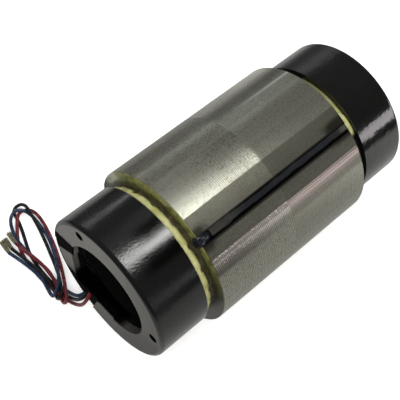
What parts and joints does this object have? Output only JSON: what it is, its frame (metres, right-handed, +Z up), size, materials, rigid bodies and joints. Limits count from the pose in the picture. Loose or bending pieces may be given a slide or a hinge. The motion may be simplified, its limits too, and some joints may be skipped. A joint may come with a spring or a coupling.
{
  "type": "electric motor stator",
  "caption": "Potted motor stator: laminated steel cylinder with grooves, black resin end caps, yellow collars, a round rotor bore and thin coloured leads.",
  "frame": {"origin": "centre of the rotor bore, halfway along the lamination stack", "axes": "+X along the bore towards the rear cap, away from the leads; +Z up as the stator lies on a floor"},
  "size_m": [0.1839, 0.1448, 0.0899],
  "materials": {
    "lamination_steel": "fine laminations, satin",
    "potting_resin": "glossy, matte grey on the machined face",
    "groove_resin": "glossy",
    "yellow_insulation": "satin",
    "winding_varnish": "varnished",
    "slot_wedge_resin": "matte",
    "red_insulation": "satin",
    "blue_insulation": "satin",
    "black_insulation": "satin",
    "tinned_copper": "tinned strands"
  },
  "bodies": {
    "root": {"black_lead": "black_insulation", "black_lead_tinned_end": "tinned_copper", "blue_lead": "blue_insulation", "blue_lead_tinned_end": "tinned_copper", "front_end_cap": "potting_resin", "front_insulation_collar": "yellow_insulation", "front_lamination_stack": "lamination_steel", "front_resin_lump": "potting_resin", "front_winding_neck": "winding_varnish", "hidden_groove_resin": "groove_resin", "lower_groove_resin": "groove_resin", "rear_end_cap": "potting_resin", "rear_insulation_collar": "yellow_insulation", "rear_lamination_stack": "lamination_steel", "rear_winding_neck": "winding_varnish", "red_lead": "red_insulation", "red_lead_tinned_end": "tinned_copper", "slot_wedge_01": "slot_wedge_resin", "slot_wedge_02": "slot_wedge_resin", "slot_wedge_03": "slot_wedge_resin", "slot_wedge_04": "slot_wedge_resin", "slot_wedge_05": "slot_wedge_resin", "slot_wedge_06": "slot_wedge_resin", "slot_wedge_07": "slot_wedge_resin", "slot_wedge_08": "slot_wedge_resin", "slot_wedge_09": "slot_wedge_resin", "slot_wedge_10": "slot_wedge_resin", "slot_wedge_11": "slot_wedge_resin", "slot_wedge_12": "slot_wedge_resin", "slot_wedge_13": "slot_wedge_resin", "slot_wedge_14": "slot_wedge_resin", "slot_wedge_15": "slot_wedge_resin", "slot_wedge_16": "slot_wedge_resin", "slot_wedge_17": "slot_wedge_resin", "slot_wedge_18": "slot_wedge_resin", "upper_groove_resin": "groove_resin"}
  },
  "joints": []
}
